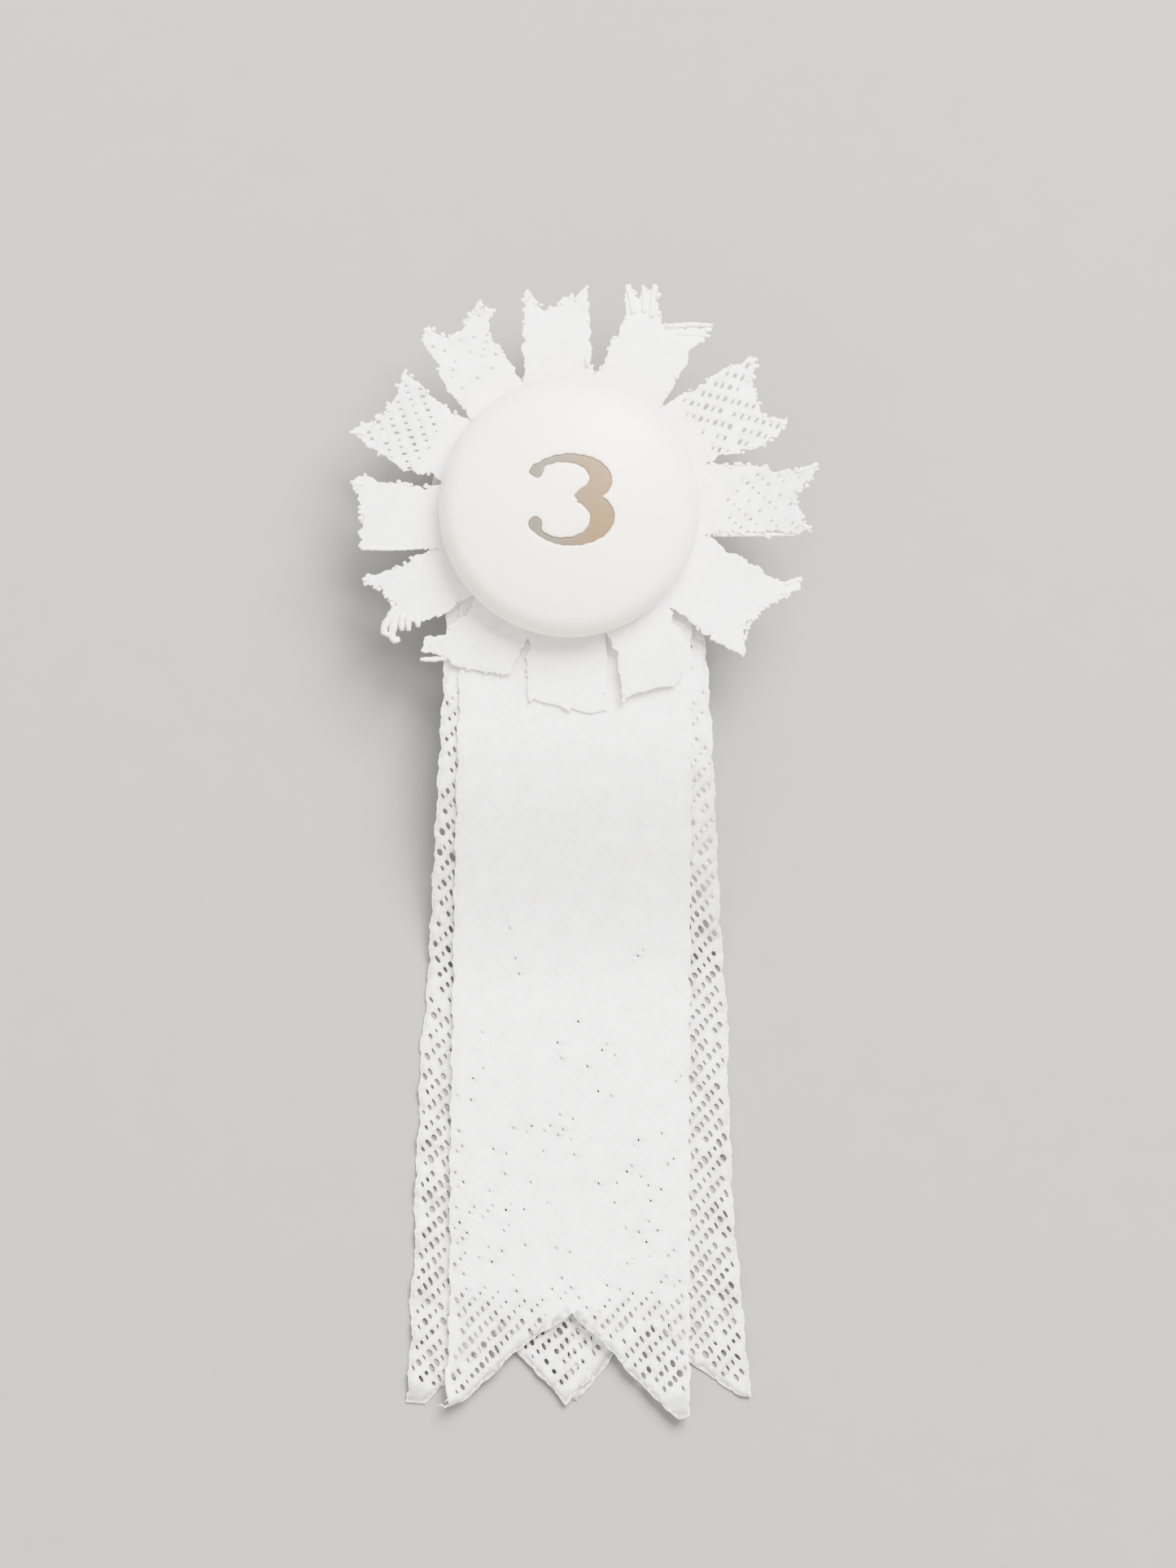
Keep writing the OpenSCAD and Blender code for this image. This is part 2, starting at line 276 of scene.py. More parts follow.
# blunt, slightly knobby yarns; each is a run of points, a radius and a place on the weave map
def spinStrands(strands):
    vertices, faces, marks = [], [], []
    for points, radius, mark in strands:
        points = np.asarray(points, float)
        sides = 6 if radius > 0.11 else 4
        start = len(vertices)
        last = len(points) - 1
        for k, point in enumerate(points):
            ahead = points[min(k + 1, last)] - points[max(k - 1, 0)]
            ahead /= np.linalg.norm(ahead) + 1e-12
            side = np.cross(ahead, (0.0, 0.0, 1.0))
            if np.linalg.norm(side) < 0.1:
                side = np.cross(ahead, (0.0, 1.0, 0.0))
            side /= np.linalg.norm(side)
            up = np.cross(side, ahead)
            size = radius * (1.0 - 0.4 * (k / last) ** 3) * (1.0 + 0.14 * math.sin(2.3 * k + start))
            for s in range(sides):
                turn = 2 * math.pi * s / sides
                vertices.append(point + size * (side * math.cos(turn) + up * math.sin(turn)))
                marks.append(mark)
        for k in range(last):
            for s in range(sides):
                a = start + k * sides + s
                b = start + k * sides + (s + 1) % sides
                faces.append((a, b, b + sides, a + sides))
        faces.append(tuple(start + s for s in reversed(range(sides))))
        faces.append(tuple(start + last * sides + s for s in range(sides)))
    return vertices, faces, marks


# the woven tape that petals and tails are cut from
lattice = {
    "rise": np.array([0.282, 0.305]),       # from one hole to the next, up to the right
    "fall": np.array([0.4545, -0.5455]),    # and down to the right
    "slant": math.atan2(-0.88, 0.47),
    "halfLength": 0.247,
    "wide": 0.152,
    "narrow": 0.113,
    "corners": 8,
    "wander": 0.016,                        # how far a hole strays from its place
    "lean": 0.08,                           # and from the common slant, in radians
    "closedShare": 0.06,                    # holes that have closed up by chance
    "smallest": 0.34,                       # a hole less open than this is only a dimple
    "rimRow": 0.1,                          # the first row of bumps inside the edge
    "crownEdge": 0.17,                      # no bump nearer to the edge than this
}
weaveSpan = 64.0                            # millimetres across the whole weave map


def weaveMap(points):
    return np.stack([(points[:, 0] + 32) / weaveSpan, (points[:, 1] + 51) / weaveSpan], axis=1)


sealed = {
    "band": 0.26,                           # millimetres of closed weave along a melted cut
    "closed": 0.34,                         # no hole nearer to the cut than this
    "toneFull": 0.2,                        # the melted tone is full up to here
    "toneGone": 0.38,                       # and has faded out here
    "tipTone": 0.62,
    "tipFade": (-0.55, 0.1),                # from the tip's radius
}


# flat tape in its outline: a pierced lattice between a thin solid edge
# cut holds the first and last corner of a heat-sealed end
# tips are places and radii where a sealed corner has closed up
def weaveTape(outline, seed, opening, turn=0.0, edge=0.13, step=0.16, ragged=None, cut=None,
              selvedgeTone=0.0, tips=()):
    rng = np.random.default_rng(seed)
    outline = np.asarray(outline, float)
    cutLine = outline[cut[0]:cut[1] + 1] if cut else None

    def fromCut(spots):
        if cutLine is None:
            return np.full(len(spots), 9.0)
        return distanceTo(spots, cutLine, closed=False)

    rim = walkAlong(outline, step)
    outward = awayFrom(outline, rim, np.roll(rim, -1, axis=0) - np.roll(rim, 1, axis=0))
    if ragged is not None:
        rim = rim + outward * ragged(rim, rng)[:, None]
    inner = (rim - outward * lattice["rimRow"])[::2]
    inner = inner[insideOf(inner, outline) & (distanceTo(inner, outline) > 0.06)]
    groove = np.zeros((0, 2))
    if cut:
        groove = (rim - outward * sealed["band"])[::2]
        groove = groove[insideOf(groove, outline) & (distanceTo(groove, outline) > 0.18)]
        groove = groove[np.abs(fromCut(groove) - sealed["band"]) < 0.06]

    c, s = math.cos(turn), math.sin(turn)
    spin = np.array([[c, -s], [s, c]])
    low, high = outline.min(0), outline.max(0)
    centre = (low + high) / 2
    reach = np.hypot(*(high - low)) / 2 + 1
    count = int(reach / 0.27)
    i, j = np.meshgrid(np.arange(-count, count), np.arange(-count, count))
    i, j = i.ravel(), j.ravel()
    spots = (i[:, None] * lattice["rise"] + j[:, None] * lattice["fall"]) @ spin.T + centre
    kept = np.all((spots > low - 0.5) & (spots < high + 0.5), axis=1)
    spots, odd = spots[kept], (i[kept] % 2 == 1)
    rise, fall = spin @ lattice["rise"], spin @ lattice["fall"]
    crowns = np.concatenate([spots + rise / 2, spots + fall / 2])
    tall = np.concatenate([np.ones(len(spots)), np.zeros(len(spots))])
    good = insideOf(crowns, outline) & (distanceTo(crowns, outline) > lattice["crownEdge"])
    good &= fromCut(crowns) > sealed["closed"]
    crowns, tall = crowns[good], tall[good]

    spots = spots + rng.normal(0, lattice["wander"], spots.shape)
    width = np.where(odd, lattice["narrow"], lattice["wide"]) * rng.uniform(0.7, 1.2, len(spots))
    length = lattice["halfLength"] * rng.uniform(0.82, 1.08, len(spots))
    slant = lattice["slant"] + turn + rng.normal(0, lattice["lean"], len(spots))
    size = opening(spots[:, 0], spots[:, 1]) * rng.uniform(0.62, 1.15, len(spots))
    size = np.where(rng.random(len(spots)) < lattice["closedShare"], 0, size)
    within = insideOf(spots, outline) & (distanceTo(spots, outline) > edge + 0.06)
    within &= fromCut(spots) > sealed["closed"] + 0.08
    for tipX, tipY, radius in tips:
        within &= np.hypot(spots[:, 0] - tipX, spots[:, 1] - tipY) > radius
    show = within & (size > lattice["smallest"])
    angles = 2 * np.pi * np.arange(lattice["corners"]) / lattice["corners"]
    points = [rim]
    kind = [np.zeros(len(rim), int)]
    loops = [np.arange(len(rim))]
    total = len(rim)
    for k in np.flatnonzero(show):
        a, b = length[k] * size[k] * np.cos(angles), width[k] * size[k] * np.sin(angles)
        cs, sn = math.cos(slant[k]), math.sin(slant[k])
        hole = spots[k] + np.stack([a * cs - b * sn, a * sn + b * cs], axis=1)
        if distanceTo(hole, outline).min() < edge:
            within[k] = False
            continue
        points.append(hole)
        kind.append(np.full(len(hole), len(loops)))
        loops.append(np.arange(total, total + len(hole)))
        total += len(hole)
    dimples = spots[within & ~show]
    # a closed hole is a dimple with painted shade, darker the more open its hole would have been
    dimpleReliefLight = np.clip(1.0 - 1.6 * size[within & ~show], 0.35, 1)
    points += [inner, crowns, dimples, groove]
    kind += [np.full(len(inner), -1), np.where(tall > 0.5, -2, -3), np.full(len(dimples), -4),
             np.full(len(groove), -5)]
    # painted shade of the weave's relief: 1 keeps the tape's own tone, lower values paint shade at
    # hole rims (0), the groove, the first inner row, the lower crowns and the dimples
    rims = np.where(np.arange(total) < len(rim), 0.9, 0.0)
    reliefLightLevels = np.concatenate([rims, np.full(len(inner), 0.8), np.where(tall > 0.5, 1.0, 0.75),
                             dimpleReliefLight, np.full(len(groove), 0.7)])
    points = np.concatenate(points)
    kind = np.concatenate(kind)
    placed, triangles, came = stretchBetween(points, loops)
    kinds = np.where(came >= 0, kind[came], -1)
    ofThree = kinds[triangles]
    same = (ofThree[:, 0] == ofThree[:, 1]) & (ofThree[:, 1] == ofThree[:, 2])
    hole = same & (ofThree[:, 0] > 0)
    border = np.any((ofThree == 0) | (came[triangles] < 0), axis=1)
    outside = np.zeros(len(triangles), bool)
    outside[border] = ~insideOf(placed[triangles[border]].mean(axis=1), rim)
    inside = distanceTo(placed, outline)
    bead = ease(inside, 0.03, 0.09)
    melted = np.maximum(1 - ease(fromCut(placed), sealed["toneFull"], sealed["toneGone"]),
                        selvedgeTone * (1 - ease(inside, 0.12, 0.26)))
    for tipX, tipY, radius in tips:
        fromTip = np.hypot(placed[:, 0] - tipX, placed[:, 1] - tipY)
        faded = ease(fromTip, radius + sealed["tipFade"][0], radius + sealed["tipFade"][1])
        melted = np.maximum(melted, sealed["tipTone"] * (1 - faded))
    melted = melted * bead
    # painted shade level at each point; points the triangulation added get 0.75
    paintedReliefLight = np.where(came >= 0, reliefLightLevels[came], 0.75)
    return placed, triangles[~(hole | outside)], kinds, melted, paintedReliefLight


# gives the flat tape its thickness and its place
def layTape(name, cloth, half, place, material, strands=()):
    placed, triangles, kinds, melted, paintedReliefLight = cloth
    used = np.unique(triangles)
    back = np.full(len(placed), -1)
    back[used] = np.arange(len(used))
    placed, kinds, triangles = placed[used], kinds[used], back[triangles]
    melted, paintedReliefLight = melted[used], paintedReliefLight[used]
    triangles = faceUp(placed, triangles)
    lift = np.select([kinds >= 0, kinds == -1, kinds == -2, kinds == -4, kinds == -5],
                     [0.4, 0.85, 1.0, 0.4, 0.45], 0.75) * half
    ground = place(placed)
    top, bottom = ground.copy(), ground.copy()
    top[:, 2] += lift
    bottom[:, 2] -= lift
    count = len(placed)
    edges = np.concatenate([triangles[:, [0, 1]], triangles[:, [1, 2]], triangles[:, [2, 0]]])
    lone = np.isin(edges[:, 0] * count + edges[:, 1], edges[:, 1] * count + edges[:, 0],
                   invert=True)
    walls = [(q, p, p + count, q + count) for p, q in edges[lone].tolist()]
    vertices = np.concatenate([top, bottom])
    faces = np.concatenate([triangles, triangles[:, ::-1] + count]).tolist() + walls
    marks = weaveMap(np.concatenate([placed, placed]))
    rings = np.maximum(kinds + 1, 0)
    rings = np.concatenate([rings, np.where(rings > 0, rings + count, 0)])
    melted = np.concatenate([melted, melted])
    paintedReliefLight = np.concatenate([paintedReliefLight, paintedReliefLight])
    if strands:
        more, moreFaces, moreMarks = spinStrands(strands)
        start = len(vertices)
        vertices = np.concatenate([vertices, np.array(more)])
        faces += [tuple(start + i for i in face) for face in moreFaces]
        marks = np.concatenate([marks, weaveMap(np.array(moreMarks))])
        rings = np.concatenate([rings, np.zeros(len(more), int)])
        melted = np.concatenate([melted, np.zeros(len(more))])
        # loose yarns get no painted shade
        paintedReliefLight = np.concatenate([paintedReliefLight, np.ones(len(more))])
    piece = makePiece(name, toFrame(vertices), faces, material, marks, rings)
    # melted is the sealed band's own tone; the other mask carries the painted shade of the weave's
    # relief
    for mask, values in (("melted", melted), ("paintedReliefLight", paintedReliefLight)):
        layer = piece.data.attributes.new(mask, "FLOAT", "POINT")
        layer.data.foreach_set("value", values)
    return piece


whiteTape = {
    "colour": (0.89, 0.862, 0.852),
    "shade": (0.84, 0.812, 0.802),
    "melted": (0.25, 0.24, 0.236),
    "meltedShade": (0.18, 0.172, 0.169),
    "roughness": 0.6,
    "yarnScale": 150.0,
    "cloudScale": 60.0,
}

# the three ribbon tails
tailTape = {
    **whiteTape,
    "half": 0.1,
    "top": 5.0,                             # the tails' hidden upper ends
    "slopeStart": -12.2,
    "slopeEnd": -27.0,
    # painted shade colour around the tails' holes
    "hollow": (0.34, 0.325, 0.32),
}
tailCloth = wovenMaterial("white pierced ribbon", tailTape)


# how far the weave's holes are open along each tail, from 0 to 1
def openRearLeft(x, y):
    return ease(-y, 8.5, 13.0)


def openRearRight(x, y):
    return 0.35 + 0.65 * ease(-y, 9.0, 21.0)


# the front tail lies over the others, so its weave only opens towards its end
def openFront(x, y):
    pinholes = 0.277 + 0.045 * ease(-y, 16, 42) + 0.02 * np.sin(x * 0.9 + 1.0) * np.cos(y * 0.4)
    leftEdge = 0.5 * ease(-x, 5.0, 6.2) * ease(-y, 26, 38)
    end = ease(-y + 0.25 * np.abs(x), 43.2, 47.2)
    return np.maximum(np.maximum(pinholes, leftEdge), end)


# height of a tail along its run: flat at the root, a soft slope, flat on the table
def tailHeight(y, root, rest):
    return root + (rest - root) * ease(-y, -tailTape["slopeStart"], -tailTape["slopeEnd"])


rootLow = {name: nodeHeights(name)[0] for name in ("rear_left_root", "rear_right_root",
                                                   "front_tail_root")}

rearRight = {
    "outline": [
        (7.0, 5.0), (7.55, -7.0), (7.9, -11.8), (8.45, -23.0), (8.75, -27.4), (8.95, -29.0),
        (8.85, -31.0), (9.0, -34.5), (9.2, -39.8), (9.5, -42.5), (9.9, -47.0), (10.22, -49.9),
        (9.65, -49.85), (6.8, -47.8), (4.1, -45.5), (2.5, -47.4), (0.45, -50.05), (0.1, -50.0),
        (-1.3, -25.0), (-2.9, 5.0),
    ],
    "cut": (11, 17),
    "root": rootLow["rear_right_root"] + 0.1,
    "rest": 0.1,
    "turn": math.radians(3.0),
    "selvedgeTone": 0.5,
    "tips": [(10.1, -49.8, 0.7)],
}
rearLeft = {
    "outline": [
        (3.8, 5.0), (3.05, -9.3), (1.15, -48.85), (-0.2, -50.2), (-1.95, -48.3), (-3.85, -46.2),
        (-5.2, -47.5), (-6.9, -49.05), (-8.1, -50.12), (-9.15, -50.05), (-9.0, -48.0),
        (-8.85, -46.1), (-8.95, -43.8), (-8.62, -42.1), (-8.7, -39.8), (-8.62, -37.0),
        (-8.42, -34.3), (-8.4, -31.8), (-8.35, -30.3), (-8.0, -27.3), (-7.7, -22.0),
        (-6.95, -8.64), (-6.2, 5.0),
    ],
    "cut": (2, 9),
    "root": rootLow["rear_left_root"] + 0.1,
    "rest": 0.36,
    "turn": math.radians(-3.0),
    "selvedgeTone": 0.6,
    "tips": [(-8.7, -50.0, 1.2), (-0.2, -50.0, 0.9)],
}
frontTail = {
    "outline": [
        (6.75, 5.0), (6.8, -12.0), (6.75, -30.0), (6.72, -46.0), (6.76, -50.8), (6.15, -50.95),
        (5.4, -50.5), (3.4, -48.4), (2.2, -47.05), (0.16, -45.05), (-1.6, -46.2),
        (-3.25, -47.45), (-6.0, -50.1), (-6.8, -50.35), (-6.8, -47.0), (-6.7, -44.0),
        (-6.7, -37.0), (-6.45, -22.0), (-6.1, -8.9), (-6.15, 5.0),
    ],
    "cut": (4, 13),
    "root": rootLow["front_tail_root"] + 0.1,
    "rest": 0.66,
    "turn": 0.0,
    "selvedgeTone": 0.1,
    "tips": [(6.1, -50.6, 1.25), (-6.5, -50.2, 0.6)],
}


# each tail's own waves, on top of the common slope
def layRearRight(x, y, z):
    return z + ease(-y, 26, 36) * ease(x, 7.2, 9.4) * (0.12 + 0.12 * np.sin(y * 1.7))


def layRearLeft(x, y, z):
    settled = ease(-y, 22, 30)
    z = z - settled * (0.25 * ease(-x, 1.0, 6.0) + 0.07 * ease(x, -0.2, 1.2))
    return z + ease(-y, 26, 36) * ease(-x, 7.0, 8.6) * (0.16 + 0.16 * np.sin(y * 2.3 + 0.8))


def layFront(x, y, z):
    settled = ease(-y, 22, 30)
    z = z + settled * 0.07 * np.sin(y * 0.35) * np.cos(x * 0.3)
    z = z + ease(-y, 44, 51) * 0.25 * ease(np.abs(x), 3.0, 6.8)
    z = z + 0.42 * ease(-y, 43.2, 45.2) * ease(3.4 - np.abs(x - 0.5), 0, 3.0)
    return z + 0.5 * ease(-y - x, 56.1, 57.2)


# a selvedge is nearly straight: slow waves, and a small step at each weft turn
def selvedge(rim, rng):
    place = rim[:, 1] + rng.uniform(0, 5)
    slow = 0.045 * np.sin(place * 2.1) + 0.035 * np.sin(place * 4.7 + 1.0)
    return slow + 0.018 * np.sin(place * 11.0) + rng.normal(0, 0.012, len(rim))


def bendAtFold(piece):
    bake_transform(piece)


def makeTail(name, tail, waves, opening, seed, nodes):
    def place(points):
        x, y = points[:, 0], points[:, 1]
        z = waves(x, y, tailHeight(y, tail["root"], tail["rest"]))
        return np.stack([x, y, z], axis=1)

    cloth = weaveTape(tail["outline"], seed, opening, turn=tail["turn"], ragged=selvedge,
                      cut=tail["cut"], selvedgeTone=tail["selvedgeTone"], tips=tail["tips"])
    strands = tail.get("strands", ())
    piece = layTape(name, cloth, tailTape["half"], place, tailCloth, strands)
    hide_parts(*nodes)
    bendAtFold(piece)
    return piece


# the front tail's lower left corner is rolled over, and a loose thread sticks out of it
frontTail["strands"] = [
    ([(-6.82, -48.1, 0.8), (-6.84, -48.8, 0.92), (-6.8, -49.5, 0.95), (-6.66, -50.1, 0.92)],
     0.15, (-6.6, -49.0)),
    ([(-6.72, -50.15, 0.95), (-6.95, -50.35, 0.9), (-7.2, -50.2, 0.7), (-7.4, -50.3, 0.55)],
     0.05, (-6.7, -50.0)),
    ([(-6.6, -50.05, 0.95), (-6.85, -49.9, 1.05), (-6.98, -50.05, 1.0)], 0.04, (-6.7, -50.0)),
]

makeTail("rearRightRibbon", rearRight, layRearRight, openRearRight, 12,
         ("rear_right_root", "rear_right_tail"))
makeTail("rearLeftRibbon", rearLeft, layRearLeft, openRearLeft, 11,
         ("rear_left_root", "rear_left_tail"))
makeTail("frontRibbon", frontTail, layFront, openFront, 13,
         ("front_tail_root", "front_tail"))

# the six petal strips
petalTape = {
    **whiteTape,
    "half": 0.075,
    "stubEvery": 0.24,
    "sideTufts": {"chance": 0.42, "lengths": (0.06, 0.17), "radius": 0.118, "spread": 0.5},
    "endTufts": {"chance": 0.62, "lengths": (0.1, 0.28), "radius": 0.12, "spread": 0.45},
    # painted shade colour around the petals' holes
    "hollow": (0.5, 0.485, 0.48),
}
petalCloth = wovenMaterial("white frayed petal tape", petalTape)

# each strip's two ends, clockwise from the left edge as seen from the middle
# bend and roll are millimetres at the tip, up and towards the right edge
petalEnds = {
    "top": {"tip": [(-2.62, 8.6), (-2.6, 10.3), (-2.62, 11.6), (-2.35, 12.0), (-1.75, 11.45),
                    (-1.35, 11.1), (-0.8, 11.15), (-0.3, 11.65), (0.4, 11.9), (0.95, 12.2),
                    (1.15, 11.4), (1.12, 10.2), (1.3, 8.4)], "bend": -0.3, "roll": 0.15},
    "topRight": {"tip": [(1.75, 8.0), (2.3, 9.3), (2.85, 9.85), (3.1, 10.8), (3.2, 12.3),
                         (3.55, 12.15), (3.9, 11.75), (4.15, 12.2), (4.55, 12.3),
                         (4.85, 12.3), (5.02, 10.8), (5.35, 10.1), (6.6, 10.1),
                         (7.9, 10.0), (7.6, 9.35), (6.8, 8.7), (6.55, 8.0), (5.4, 6.2)],
                 "bend": -0.35, "roll": 0.2},
    "upperRight": {"tip": [(5.9, 6.1), (7.5, 7.05), (9.0, 7.9), (10.1, 8.4), (10.5, 8.0),
                           (10.3, 7.3), (10.35, 6.3), (10.75, 5.4), (11.1, 5.0), (12.05, 4.8),
                           (11.8, 4.2), (11.3, 3.95), (11.1, 3.5), (10.3, 3.4), (9.5, 3.0),
                           (8.2, 2.7)], "bend": -0.5, "roll": 0.1, "open": 0.8},
    "right": {"tip": [(7.9, 2.45), (9.5, 2.4), (10.9, 2.35), (11.5, 2.0), (12.6, 2.1),
                      (13.75, 2.35), (13.7, 1.8), (13.15, 1.25), (12.75, 0.8), (12.65, 0.3),
                      (12.8, -0.2), (13.15, -0.75), (13.45, -1.3), (12.6, -1.4),
                      (11.3, -1.35), (8.0, -1.5)], "bend": 0.1, "roll": -0.35, "open": 0.45},
    "lowerRight": {"tip": [(8.0, -1.7), (9.6, -2.8), (10.6, -3.45), (11.4, -3.95),
                           (12.1, -4.1), (12.8, -3.95), (12.8, -4.5), (12.0, -5.05),
                           (11.3, -5.35), (10.7, -5.8), (10.1, -6.4), (9.75, -7.2),
                           (9.75, -8.2), (8.8, -7.85), (7.9, -7.3), (6.0, -5.8)],
                   "bend": -0.6, "roll": 0.15},
    "bottomRight": {"tip": [(5.9, -6.0), (6.3, -7.5), (6.35, -9.4), (5.9, -9.9), (4.9, -10.05),
                            (3.9, -10.35), (2.95, -10.75), (2.85, -9.5), (2.45, -7.6)],
                    "bend": -0.7, "roll": 0.05, "fray": 0.15},
    "bottom": {"tip": [(2.1, -8.3), (2.05, -11.3), (1.1, -11.45), (-0.3, -11.15),
                       (-1.4, -10.85), (-2.35, -10.6), (-2.38, -8.3)],
               "bend": -0.1, "roll": 0.0, "fray": 0.15},
    "bottomLeft": {"tip": [(-2.75, -8.1), (-3.4, -9.3), (-5.0, -9.1), (-6.4, -8.8),
                           (-7.0, -8.25), (-7.6, -8.12), (-8.25, -7.95), (-8.1, -7.35),
                           (-6.9, -7.0), (-6.8, -6.6), (-6.2, -6.1), (-5.5, -5.45)],
                   "bend": -0.35, "roll": -0.05, "fray": 0.4},
    "lowerLeft": {"tip": [(-6.3, -5.4), (-7.1, -6.0), (-8.2, -6.35), (-9.0, -6.3),
                          (-9.7, -5.9), (-9.85, -5.3), (-10.3, -4.85), (-10.8, -4.4),
                          (-11.35, -4.2), (-11.4, -3.7), (-10.5, -3.6), (-9.6, -3.25),
                          (-8.8, -2.8), (-7.6, -2.4)], "bend": -0.45, "roll": 0.0},
    "left": {"tip": [(-8.0, -2.35), (-11.65, -2.35), (-11.6, -1.0), (-11.6, 0.4),
                     (-12.1, 1.2), (-12.05, 1.5), (-11.3, 1.85), (-10.8, 1.45), (-9.5, 1.4),
                     (-8.0, 1.2)], "bend": -0.3, "roll": 0.1},
    "upperLeft": {"tip": [(-7.6, 1.75), (-9.2, 2.05), (-9.95, 2.6), (-10.6, 3.0), (-11.3, 3.5),
                          (-12.15, 4.15), (-11.95, 4.5), (-11.0, 4.85), (-10.3, 5.3),
                          (-9.8, 6.2), (-9.4, 7.0), (-9.1, 7.6), (-8.2, 6.9), (-7.4, 6.1),
                          (-6.3, 5.3)], "bend": -0.6, "roll": 0.1, "open": 0.6},
    "topLeft": {"tip": [(-6.0, 5.7), (-6.9, 6.6), (-7.4, 7.9), (-8.0, 8.9), (-8.25, 9.5),
                        (-7.9, 9.95), (-7.2, 9.75), (-6.7, 9.5), (-6.1, 9.9), (-5.6, 10.5),
                        (-5.3, 11.1), (-4.95, 11.4), (-4.6, 11.1), (-4.2, 10.8), (-4.55, 10.3),
                        (-4.3, 9.4), (-3.7, 8.7), (-3.1, 7.7)],
                "bend": -0.55, "roll": 0.1, "open": 0.4},
}
petalPairs = [("top", "bottom"), ("topRight", "bottomLeft"), ("upperRight", "lowerLeft"),
              ("right", "left"), ("lowerRight", "upperLeft"), ("bottomRight", "topLeft")]

# thick loose yarns by strip: where each runs, its radius and how far below the petal it hangs
looseYarns = {
    1: [([(0.3, 11.5), (0.75, 12.0), (1.05, 12.35)], 0.13, 0.0),
        ([(-2.3, 11.5), (-2.45, 11.9), (-2.3, 12.15)], 0.14, 0.0),
        ([(1.0, 8.4), (1.0, 7.8)], 0.17, -0.1)],
    2: [([(3.6, 10.8), (3.45, 11.6), (3.2, 12.35)], 0.17, -0.1),
        ([(4.15, 10.9), (4.2, 11.6), (4.1, 12.4)], 0.15, -0.1),
        ([(4.6, 10.6), (4.65, 11.6), (4.75, 12.45)], 0.17, -0.1),
        ([(5.4, 10.1), (6.8, 10.2), (8.0, 10.15)], 0.14, -0.12),
        ([(6.0, 9.7), (7.0, 9.65), (7.85, 9.55)], 0.14, 0.0),
        ([(-7.7, -7.7), (-7.9, -7.4), (-8.0, -7.2)], 0.12, 0.0),
        ([(-6.8, -8.35), (-7.6, -8.45), (-8.3, -8.45)], 0.15, 0.15)],
    3: [([(-9.6, -5.5), (-9.98, -6.1), (-10.3, -6.6), (-10.32, -6.95), (-10.05, -7.1)], 0.23, 0.0),
        ([(-9.6, -5.7), (-9.75, -6.5), (-9.9, -7.1), (-9.75, -7.42), (-9.45, -7.3)], 0.23, 0.1),
        ([(-9.25, -5.9), (-9.35, -6.4), (-9.3, -6.85)], 0.2, 0.0),
        ([(-8.85, -6.0), (-8.95, -6.4), (-8.95, -6.85)], 0.2, 0.1),
        ([(-8.4, -6.0), (-8.45, -6.3), (-8.4, -6.65)], 0.19, 0.0),
        ([(10.1, 8.0), (10.3, 8.3), (10.5, 8.2)], 0.14, 0.0),
        ([(11.2, 4.9), (11.8, 4.8), (12.15, 4.7)], 0.15, 0.0)],
    4: [([(12.6, 1.95), (13.2, 2.15), (13.8, 2.35)], 0.14, 0.0),
        ([(12.4, 1.3), (12.9, 1.6), (13.5, 1.9)], 0.11, 0.05),
        ([(12.8, -0.8), (13.2, -1.1), (13.45, -1.4)], 0.14, 0.0),
        ([(8.0, -1.5), (10.0, -1.5), (11.6, -1.5), (12.7, -1.5)], 0.14, 0.15),
        ([(10.9, -1.5), (11.2, -1.75)], 0.13, 0.1),
        ([(-11.6, -2.25), (-10.0, -2.3), (-8.2, -2.25)], 0.12, 0.0),
        ([(-11.5, 1.3), (-12.0, 1.35), (-12.2, 1.45)], 0.13, 0.0)],
    5: [([(12.0, -4.3), (12.5, -4.1), (12.95, -3.9)], 0.15, 0.0),
        ([(11.8, -4.8), (12.4, -4.6), (12.85, -4.45)], 0.13, 0.0),
        ([(9.6, -7.5), (9.7, -8.0), (9.65, -8.3)], 0.14, 0.0),
        ([(-11.3, 4.1), (-11.9, 4.2), (-12.25, 4.2)], 0.16, 0.0),
        ([(-9.3, 7.0), (-9.2, 7.4), (-9.05, 7.7)], 0.13, 0.0),
        ([(-11.2, 3.7), (-11.3, 3.4)], 0.12, 0.0),
        ([(-10.5, 3.2), (-10.65, 2.85)], 0.14, 0.0)],
    6: [([(-7.7, 9.6), (-7.9, 9.9), (-7.75, 10.05)], 0.14, 0.0),
        ([(-5.2, 10.9), (-5.05, 11.3), (-4.9, 11.55)], 0.14, 0.0),
        ([(-4.7, 10.9), (-4.4, 10.95), (-4.1, 10.95)], 0.15, 0.0)],
}


# short blunt tufts of broken yarn; aim is where the yarns run, fray thins them out
def frayTufts(roots, away, aim, tufts, fray, place, rng):
    strands = []
    for root, outward in zip(roots, away):
        if rng.random() > tufts["chance"] * fray:
            continue
        heading = outward if aim is None else aim
        turn = rng.normal(0, tufts["spread"])
        c, s = math.cos(turn), math.sin(turn)
        heading = np.array([heading[0] * c - heading[1] * s, heading[0] * s + heading[1] * c])
        sweep = np.array([-heading[1], heading[0]]) * rng.normal(0, 0.25)
        long = rng.uniform(*tufts["lengths"])
        inner = root - outward * 0.1 + rng.normal(0, 0.04, 2)
        flat = np.array([inner + (heading * t + sweep * t * t) * long
                         for t in (-0.15, 0.3, 0.65, 1.0)])
        ground = place(flat)
        ground[:, 2] += rng.normal(0, 0.03) + np.arange(4) * rng.normal(0, 0.02)
        strands.append((ground, tufts["radius"] * rng.uniform(0.7, 1.3), tuple(root)))
    return strands


